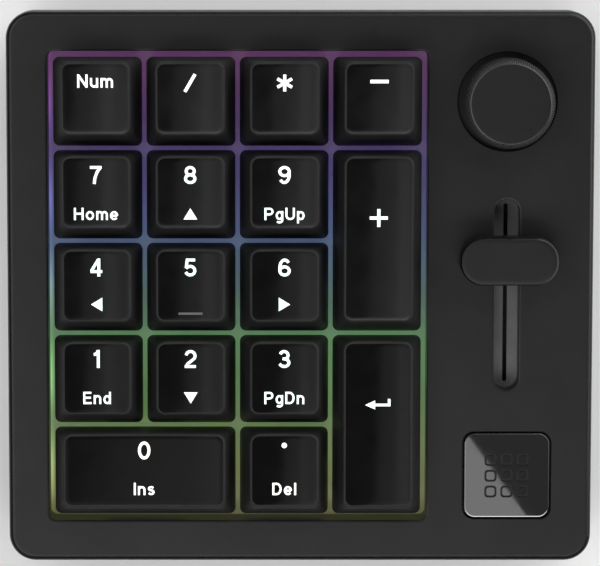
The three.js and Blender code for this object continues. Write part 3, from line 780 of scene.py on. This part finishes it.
def letters():
    """The width and the strokes of every letter and digit that the legends need."""
    h, top, low, high = HALF, 1 - HALF, X_HEIGHT / 2, X_HEIGHT - HALF
    bowl = low - h
    six = [
        arc(0.355, 0.31, 0.262, 0.31 - h, 0, 360, 20),
        [*arc(0.365, 0.5, 0.272, 0.5 - h, 40, 180), (0.093, 0.31)],
    ]
    n = [[(h, 0), (h, X_HEIGHT)], arc(0.285, 0.43, 0.285 - h, high - 0.43, 180, 0) + [(0.57 - h, 0)]]
    d = [[(0.57 - h, 0), (0.57 - h, 1)], arc(0.285, low, 0.285 - h, bowl, 0, 360, 20)]
    m = [[(h, 0), (h, X_HEIGHT)]]
    for middle in (0.255, 0.61):
        m.append(arc(middle, 0.45, 0.255 - h, high - 0.45, 180, 0) + [(middle + 0.255 - h, 0)])
    return {
        "0": (0.7, [arc(0.35, 0.5, 0.267, 0.5 - h, 0, 360, 24)]),
        "1": (0.7, [[(0.42, 0), (0.42, 1)], [(0.17, 0.75), (0.28, 0.77), (0.37, 0.85), (0.4, 0.96)]]),
        "2": (0.7, [
            arc(0.345, 0.67, 0.25, top - 0.67, 172, -32) + [(0.36, 0.37), (0.19, 0.235), (0.1, h)],
            [(0.02, h), (0.64, h)],
        ]),
        "3": (0.7, [
            arc(0.335, 0.705, 0.225, top - 0.705, 162, -80),
            [(0.25, 0.51), (0.38, 0.5)],
            arc(0.345, 0.29, 0.262, 0.29 - h, 82, -165),
        ]),
        "4": (0.7, [[(0.48, 0), (0.48, 1)], [(0.46, 0.95), (0.075, 0.32)], [(0.02, 0.275), (0.67, 0.275)]]),
        "5": (0.7, [
            [(0.61, top), (0.17, top), (0.115, 0.465)],
            arc(0.335, 0.325, 0.262, 0.325 - h, 147, -160),
        ]),
        "6": (0.7, six),
        "7": (0.7, [[(0.03, top), (0.67, top)], [(0.61, 0.93), (0.42, 0.66), (0.3, 0.34), (0.26, 0)]]),
        "8": (0.7, [
            arc(0.35, 0.712, 0.225, top - 0.712, 0, 360, 20),
            arc(0.35, 0.295, 0.262, 0.295 - h, 0, 360, 20),
        ]),
        "9": (0.7, turned(six, 0.35, 0.5)),
        "N": (0.72, [[(h, 0), (h, 1)], [(0.72 - h, 0), (0.72 - h, 1)], [(h + 0.02, 0.93), (0.7 - h, 0.07)]]),
        "H": (0.72, [[(h, 0), (h, 1)], [(0.72 - h, 0), (0.72 - h, 1)], [(h, 0.52), (0.72 - h, 0.52)]]),
        "P": (0.68, [
            [(h, 0), (h, 1)],
            [(h, top), (0.38, top), *arc(0.38, 0.69, 0.22, top - 0.69, 90, -90), (h, 0.46)],
        ]),
        "U": (0.7, [[(h, 1), *arc(0.35, 0.34, 0.35 - h, 0.34 - h, 180, 360), (0.7 - h, 1)]]),
        "D": (0.7, [[(h, 0), (h, 1)], [(h, top), *arc(0.32, 0.5, 0.38 - h, 0.5 - h, 90, -90), (h, h)]]),
        "E": (0.62, [
            [(h, 0), (h, 1)],
            [(h, top), (0.6, top)],
            [(h, 0.52), (0.57, 0.52)],
            [(h, h), (0.62, h)],
        ]),
        "I": (2 * h, [[(h, 0), (h, 1)]]),
        "l": (2 * h, [[(h, 0), (h, 1)]]),
        "n": (0.57, n),
        "u": (0.57, turned(n, 0.285, low)),
        "m": (0.865, m),
        "o": (0.62, [arc(0.31, low, 0.31 - h, bowl, 0, 360, 20)]),
        "e": (0.62, [[(h, low), (0.62 - h, low)], arc(0.31, low, 0.31 - h, bowl, 0, 322, 18)]),
        "d": (0.57, d),
        "p": (0.57, turned(d, 0.285, low)),
        "g": (0.57, [
            arc(0.285, low, 0.285 - h, bowl, 0, 360, 20),
            [(0.57 - h, X_HEIGHT), *arc(0.285, 0, 0.285 - h, 0.2, 0, -145)],
        ]),
        "s": (0.53, [
            arc(0.265, 0.52, 0.17, high - 0.52, 25, 270) + arc(0.265, 0.235, 0.185, 0.155, 90, -155),
        ]),
    }


LETTERS = letters()


def ribbon(points, thickness):
    """Quadrilaterals that give a centre line its thickness, mitred where it turns."""
    closed = math.dist(points[0], points[-1]) < 1e-6
    normals = []
    for (x0, y0), (x1, y1) in zip(points, points[1:]):
        length = math.hypot(x1 - x0, y1 - y0) or 1
        normals.append(((y0 - y1) / length, (x1 - x0) / length))
    sides = []
    for i, (x, y) in enumerate(points):
        before = normals[i - 1] if i or closed else normals[0]
        after = normals[i % len(normals)] if i < len(normals) or closed else normals[-1]
        spread = max(0.4, 1 + before[0] * after[0] + before[1] * after[1])
        dx, dy = ((before[k] + after[k]) / spread * thickness / 2 for k in (0, 1))
        sides.append(((x + dx, y + dy), (x - dx, y - dy)))
    return [(b0, b1, a1, a0) for (a0, a1), (b0, b1) in zip(sides[:-1], sides[1:])]


def prism_of(polygons):
    """The polygons, joined where they overlap, as a closed prism from z 0 to z 1."""
    points, faces = [], []
    for polygon in polygons:
        following = (*polygon[1:], polygon[0])
        area = sum(x0 * y1 - x1 * y0 for (x0, y0), (x1, y1) in zip(polygon, following))
        faces.append(list(range(len(points), len(points) + len(polygon))))
        points += [Vector(point) for point in (polygon if area > 0 else reversed(polygon))]
    joined = delaunay_2d_cdt(points, [], faces, 0, 1e-4)
    triangles = [face for face, owners in zip(joined[2], joined[5]) if owners]
    bm = bmesh.new()
    low = [bm.verts.new((point.x, point.y, 0)) for point in joined[0]]
    high = [bm.verts.new((point.x, point.y, 1)) for point in joined[0]]
    edges = {}
    for a, b, c in triangles:
        bm.faces.new((high[a], high[b], high[c]))
        bm.faces.new((low[c], low[b], low[a]))
        edges.update(dict.fromkeys(((a, b), (b, c), (c, a))))
    for a, b in edges:
        if (b, a) not in edges:
            bm.faces.new((low[a], low[b], high[b], high[a]))
    bmesh.ops.delete(bm, geom=[vertex for vertex in bm.verts if not vertex.link_faces], context="VERTS")
    return bm


def word(text, height, stretch):
    """The polygons of a word that is centred on the origin."""
    polygons = []
    x = 0
    for letter in text:
        width, strokes = LETTERS[letter]
        for stroke in strokes:
            line = [((x + px * stretch) * height, (py - 0.5) * height) for px, py in stroke]
            polygons += ribbon(line, 2 * HALF * height)
        x += width * stretch + LETTER_GAP
    middle = (x - LETTER_GAP) * height / 2
    return [[(px - middle, py) for px, py in polygon] for polygon in polygons]


def spoke(length, angle):
    x, y = length / 2 * math.cos(angle), length / 2 * math.sin(angle)
    return [(-x, -y), (x, y)]


def return_arrow():
    """An arrow to the left whose tail turns up at its right end."""
    tail = [(-1.0, 0), (2.3, 0), (2.3, 1.25)]
    head = [(-2.6, 0), (-0.55, -0.92), (-0.55, 0.92)]
    return ribbon(tail, SYMBOL_STROKE * 0.82) + [head]


def glyph(kind):
    """The polygons of a legend, in millimetres, centred on the origin."""
    turns = {"up": 90, "left": 180, "down": 270, "right": 0}
    if kind in turns:
        corners = [(1.15, 0), (-1.15, 1.4), (-1.15, -1.4)]
        c, s = (round(f(math.radians(turns[kind]))) for f in (math.cos, math.sin))
        return [[(x * c - y * s, x * s + y * c) for x, y in corners]]
    if kind == "slash":
        return ribbon(spoke(4.1, math.radians(60)), SYMBOL_STROKE)
    if kind == "minus":
        return ribbon(spoke(3.7, 0), 0.7)
    if kind == "plus":
        return ribbon(spoke(3.65, 0), SYMBOL_STROKE) + ribbon(spoke(3.65, math.pi / 2), SYMBOL_STROKE)
    if kind == "asterisk":
        spokes = [spoke(3.4, math.pi / 2 + turn * math.pi / 3) for turn in range(3)]
        return [part for arm in spokes for part in ribbon(arm, SYMBOL_STROKE * 0.95)]
    if kind == "dot":
        return [circle(0.55, sides=20)]
    if kind == "bar":
        return ribbon(spoke(4.9, 0), 0.45)
    if kind == "return":
        return return_arrow()
    if kind.isdigit():
        return word(kind, DIGIT_HEIGHT, 1.0)
    return word(kind, NUM_HEIGHT if kind == "Num" else WORD_HEIGHT, LETTER_STRETCH)


def legend_rise(row, kind, place):
    """How far behind the middle of the key's top face a legend's middle is."""
    if kind == "dot":
        return DOT_RISE
    if kind == "bar":
        return -BAR_DROP
    if place == "second":
        return -SECOND_DROPS[row]
    return SYMBOL_RISES.get(kind, MAIN_RISES[row])


def legend(name, row, kind, place):
    """A lit legend let into the dished top of a keycap, or the raised homing bar."""
    x, y, _, _, crown = key_geometry(name, row)
    middle_y = y + ROW_SET_BACKS[row] + legend_rise(row, kind, place)
    bm = prism_of(glyph(kind))
    slices = int(max(abs(vertex.co.x) for vertex in bm.verts) / LEGEND_SLICE)
    for i in range(-slices, slices + 1):
        geometry = bm.verts[:] + bm.edges[:] + bm.faces[:]
        cut = (i * LEGEND_SLICE + SLICE_OFFSET, 0, 0)
        bmesh.ops.bisect_plane(bm, geom=geometry, plane_co=cut, plane_no=(1, 0, 0))
    proud = BAR_PROUD if kind == "bar" else LEGEND_PROUD
    for vertex in bm.verts:
        px, py = x + vertex.co.x, middle_y + vertex.co.y
        vertex.co = (px, py, crown(px, py) + (proud if vertex.co.z > 0.5 else -LEGEND_DEPTH))
    solid = Solid(bm)
    material = BAR if kind == "bar" else LEGENDS[row]
    label = "homing_bar" if kind == "bar" else "legend_" + place + "_" + name
    add_piece(label, solid, [material], "key_" + name)


for key_name, key_row, main, second in KEYS:
    keycap(key_name, key_row)
    stems(key_name, key_row)
    legend(key_name, key_row, main, "main")
    if second:
        legend(key_name, key_row, second, "second")

# ---------------------------------------------------------------- Knob

KNOB_RIBS = 120
KNOB_GROOVE = 0.45
KNOB_TAPER = 0.85  # how far the knurled shoulder leans in
KNOB_TAPER_HEIGHT = 1.0
KNOB_BEVEL = 0.22
KNOB_CAVITY = 6.5
KNOB_CAVITY_TOP = 4.5
KNOB_BORE = 3.0


def knob():
    """A knob with a ribbed side whose ribs run over a leaning shoulder to a thin bright bevel."""
    low, high = node_box("knob", DECK)
    radius = knob_width / 2
    solid = Solid()
    sides = KNOB_RIBS * 4
    angles = [2 * math.pi * (i + 0.5) / sides for i in range(sides)]

    def ring(r, z, groove=0.0):
        radii = [r - groove * (0, 0, 1, 1)[i % 4] for i in range(sides)]
        points = [(knob_x + k * math.cos(a), knob_y + k * math.sin(a)) for k, a in zip(radii, angles)]
        return solid.ring(points, z)

    foot = ring(KNOB_CAVITY, low.z)
    shoulder = high.z - KNOB_TAPER_HEIGHT - 0.1
    side = solid.walls(
        foot,
        ring(radius - 0.7, low.z),
        ring(radius - 0.3, low.z + 0.3, KNOB_GROOVE * 0.6),
        ring(radius, low.z + 0.6, KNOB_GROOVE),
        ring(radius, shoulder, KNOB_GROOVE),
        ring(radius - KNOB_TAPER * 0.4, shoulder + KNOB_TAPER_HEIGHT * 0.55, KNOB_GROOVE * 0.9),
        ring(radius - KNOB_TAPER + 0.1, high.z - 0.14, KNOB_GROOVE * 0.5),
        ring(radius - KNOB_TAPER, high.z - 0.1),
    )
    solid.slot_index = 1
    face_radius = radius - KNOB_TAPER - KNOB_BEVEL
    middle_of_bevel = ring(face_radius + KNOB_BEVEL * 0.5, high.z - 0.035)
    edge = solid.walls(side, middle_of_bevel, ring(face_radius, high.z))
    solid.slot_index = 2
    face = [ring(r, high.z) for r in (face_radius - 0.3, face_radius * 0.5, 0.4)]
    solid.cap(solid.walls(edge, *face))
    solid.slot_index = 0
    bore = solid.walls(foot, ring(KNOB_CAVITY, KNOB_CAVITY_TOP), ring(KNOB_BORE, KNOB_CAVITY_TOP))
    solid.cap(solid.walls(bore, ring(KNOB_BORE, high.z - 1.4)))
    # The ribbed side takes the lighter side metal, painted light; the face takes the case's metal.
    materials = [KNOB_SIDE_PAINTED_LIGHT, KNOB_EDGE, CASE]
    add_piece("knob_knurled", solid, materials, "knob", ["knob"], sharp_angle=24)


knob()

# ---------------------------------------------------------------- Slider

SLIDER_CORNER = 4.6
SLIDER_CHAMFER = 0.35
LEVER_POCKET = (1.0, 5.4)
SHIELD_SIZE = (7.4, 41.6)
SHIELD_CORNER = 2.5
SLIT_WIDTH = 0.85
SLIT_LENGTH = 37.0


def slider_cap():
    """The grip, with a pocket underneath for the lever."""
    low, high = node_box("slider_cap", DECK)
    x, y, width, depth = deck_middle("slider_cap")
    _, lever_y, _, _ = deck_middle("slider_lever")
    solid = Solid()

    def ring(inset, z):
        points = outline(width - 2 * inset, depth - 2 * inset, SLIDER_CORNER - inset, x, y, steps=14)
        return solid.ring(points, z)

    foot = ring(0.4, low.z)
    chamfer_foot = high.z - SLIDER_CHAMFER
    side = solid.walls(foot, ring(0.12, low.z + 0.1), ring(0, low.z + 0.4), ring(0, chamfer_foot - 0.05))
    solid.slot_index = 1
    edge = solid.walls(side, ring(0.05, chamfer_foot + 0.05), ring(SLIDER_CHAMFER, high.z - 0.03))
    solid.slot_index = 0
    solid.cap(solid.walls(edge, ring(SLIDER_CHAMFER + 0.12, high.z), ring(1.2, high.z - 0.005)))
    pocket = outline(*LEVER_POCKET, 0.1, x, lever_y, steps=2)
    mouth = solid.ring(pocket, low.z)
    solid.cap(solid.walls(mouth, solid.ring(pocket, high.z - 2.5)))
    solid.cap(foot, mouth)
    materials = [CASE, KNOB_EDGE]
    add_piece("slider_grip", solid, materials, "slider", ["slider_cap"], sharp_angle=24)


def dust_shield():
    """The thin film with a slit that covers the slide potentiometer's top."""
    solid = Solid()
    top = node_box("slide_potentiometer", DECK)[1].z
    rims, slits = [], []
    for z in (top + 0.05, top + 0.2):
        rims.append(solid.ring(outline(*SHIELD_SIZE, SHIELD_CORNER, slot_x, slot_y, 6), z))
        slits.append(solid.ring(outline(SLIT_WIDTH, SLIT_LENGTH, SLIT_WIDTH / 2, slot_x, slot_y, 6), z))
        solid.cap(rims[-1], slits[-1])
    solid.wall(*rims)
    solid.wall(*slits)
    add_piece("slider_dust_shield", solid, [SHIELD], "chassis")


slider_cap()
dust_shield()

# ---------------------------------------------------------------- Badge

BADGE_PITCH = 3.3
BADGE_MARK = 2.5
BADGE_GROOVE = 0.42


def badge():
    """A mirror-like plate with an engraved mark: nine rounded squares, like a keypad."""
    low, high = node_box("badge", DECK)
    solid = Solid()

    def ring(inset, z):
        size = badge_width - 2 * inset
        return solid.ring(outline(size, size, BADGE_CORNER - inset, badge_x, badge_y, steps=10), z)

    foot = ring(0.1, low.z)
    solid.cap(foot)
    side = solid.walls(foot, ring(0, low.z + 0.1), ring(0, high.z - 0.3))
    solid.slot_index = 1
    edge = solid.walls(side, ring(0.04, high.z - 0.17), ring(0.13, high.z - 0.06), ring(0.27, high.z))
    solid.slot_index = 0
    face = solid.walls(edge, ring(0.5, high.z))
    marks = []
    for column in (-1, 0, 1):
        for row in (-1, 0, 1):
            x, y = badge_x + column * BADGE_PITCH, badge_y + row * BADGE_PITCH
            sizes = (BADGE_MARK, BADGE_MARK - 2 * BADGE_GROOVE)
            outside, inside = (outline(size, size, size * 0.28, x, y, 5) for size in sizes)
            mouth = solid.ring(outside, high.z)
            solid.slot_index = 2
            inner = solid.walls(
                mouth,
                solid.ring(outside, high.z - BADGE_GROOVE),
                solid.ring(inside, high.z - BADGE_GROOVE),
                solid.ring(inside, high.z),
            )
            solid.slot_index = 0
            solid.cap(inner)
            marks.append(mouth)
    solid.cap(face, *marks)
    materials = [BADGE, BADGE_EDGE, BOTTOM]
    add_piece("badge_plate", solid, materials, "chassis", ["badge"], sharp_angle=32)


badge()

# ---------------------------------------------------------------- CAD nodes that are shown as they are


def dress(node, material, bevel=0.0, segments=2):
    """Gives a CAD node its material and, where its edges would show, rounds them by bevel millimetres."""
    piece = frame["nodes"][node]
    piece.data.materials.clear()
    piece.data.materials.append(material)
    if bevel:
        modifier = piece.modifiers.new("edges", "BEVEL")
        modifier.width = bevel * MILLIMETRE
        modifier.segments = segments
        modifier.limit_method = "ANGLE"
        modifier.angle_limit = math.radians(34)


for node in frame["nodes"]:
    if node.startswith("switch_") and node != "switch_plate":
        dress(node, MILKY, 0.15)
    elif node.startswith("stabiliser_"):
        dress(node, PLATE, 0.15)
    elif node.startswith("foot_"):
        dress(node, RUBBER, 0.25)
    elif node.startswith("case_screw_"):
        dress(node, STEEL, 0.08)
dress("switch_plate", PLATE)
dress("bottom_case", BOTTOM, 0.3)
dress("circuit_board", BOARD)
dress("battery_pack", WRAP, 0.6, 3)
dress("usb_c_socket", STEEL, 0.05)
dress("encoder_body", STEEL)
dress("encoder_shaft", STEEL, 0.1)
dress("encoder_rotor", MILKY)
dress("slide_potentiometer", STEEL)
dress("slider_lever", STEEL, 0.1)
dress("mode_switch_nub", NUB, 0.2)

# ---------------------------------------------------------------- Floor, camera and light, in metres

FLOOR_REACH = 3
CAMERA_FROM_DECK = Vector((-0.0095, 0.00115, 0.7))
CAMERA_LENS = 204.8
CAMERA_SHIFT = 0.07667
PANEL_HEIGHT = 1.05


def floor():
    bm = bmesh.new()
    bmesh.ops.create_grid(bm, x_segments=1, y_segments=1, size=FLOOR_REACH)
    mesh = bpy.data.meshes.new("floor")
    bm.to_mesh(mesh)
    bm.free()
    m = Material("floor_pale", grey(0.88), 0.75)
    m.blend(m.mapped(m.noise(300), 0, 1), grey(0.87), grey(0.89))
    mesh.materials.append(m.material)
    plane = bpy.data.objects.new("floor", mesh)
    scene.collection.objects.link(plane)
    plane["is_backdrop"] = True


def camera():
    """Straight down from above, a little left of the middle, on a long lens."""
    data = bpy.data.cameras.new("camera")
    data.sensor_width = 36
    data.lens = CAMERA_LENS
    data.shift_x = CAMERA_SHIFT
    data.clip_start = 0.01
    holder = bpy.data.objects.new("camera", data)
    holder.location = TO_METRES @ DECK.translation + CAMERA_FROM_DECK
    scene.collection.objects.link(holder)
    scene.camera = holder


def softbox(name, place, width, height, radiance):
    """A rectangular area light that faces the origin; radiance is how bright it looks."""
    data = bpy.data.lights.new(name, "AREA")
    data.shape = "RECTANGLE"
    data.size = width
    data.size_y = height
    data.energy = radiance * math.pi * width * height
    holder = bpy.data.objects.new(name, data)
    holder.rotation_euler = (-Vector(place)).to_track_quat("-Z", "Y").to_euler()
    holder.location = place
    scene.collection.objects.link(holder)
    return holder


def ceiling_panel(name, edge, direction, start, length, width, radiance, height):
    """A panel facing down whose right-hand edge passes through a point in the given direction."""
    direction = Vector((*direction, 0)).normalized()
    inward = Vector((direction.y, -direction.x, 0))
    middle = Vector((*edge, 0)) + direction * (start + length / 2) + inward * (width / 2)
    panel = softbox(name, (middle.x, middle.y, height), width, length, radiance)
    panel.rotation_euler = (0, 0, math.atan2(direction.y, direction.x) - math.pi / 2)


floor()
camera()

# The dished keys mirror the edges of the first two panels, and the badge mirrors the dim one's edge.
ceiling_panel("overhead", (-0.17, 0.0), (0.0, -1.0), -0.35, 1.6, 0.8, 0.6, PANEL_HEIGHT)
ceiling_panel("front_left", (-0.04, 0.0), (0.0, -1.0), 0.38, 0.8, 0.86, 0.35, PANEL_HEIGHT + 0.02)
ceiling_panel("dim", (0.101, -0.318), (0.58, -0.815), -0.3, 0.8, 0.36, 0.47, PANEL_HEIGHT + 0.01)
softbox("rear_right", (1.14, 0.72, 0.8), 3.0, 1.0, 2.8)
softbox("rear_high", (0.0, 1.1, 1.5), 2.0, 1.0, 1.0)
softbox("left", (-1.25, 0.1, 1.5), 2.2, 0.7, 1.9)
softbox("front", (0.0, -1.15, 1.5), 2.8, 0.7, 2.6)

world = bpy.data.worlds.new("studio")
world.use_nodes = True
background = world.node_tree.nodes["Background"]
background.inputs["Color"].default_value = (1, 1, 1, 1)
background.inputs["Strength"].default_value = 0.07
scene.world = world
scene.view_settings.view_transform = "Standard"

visual_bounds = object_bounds()
sizes = {"cad": cad_bounds, "visual": visual_bounds}
{name: [list(corner) for corner in bounds] for name, bounds in sizes.items()}
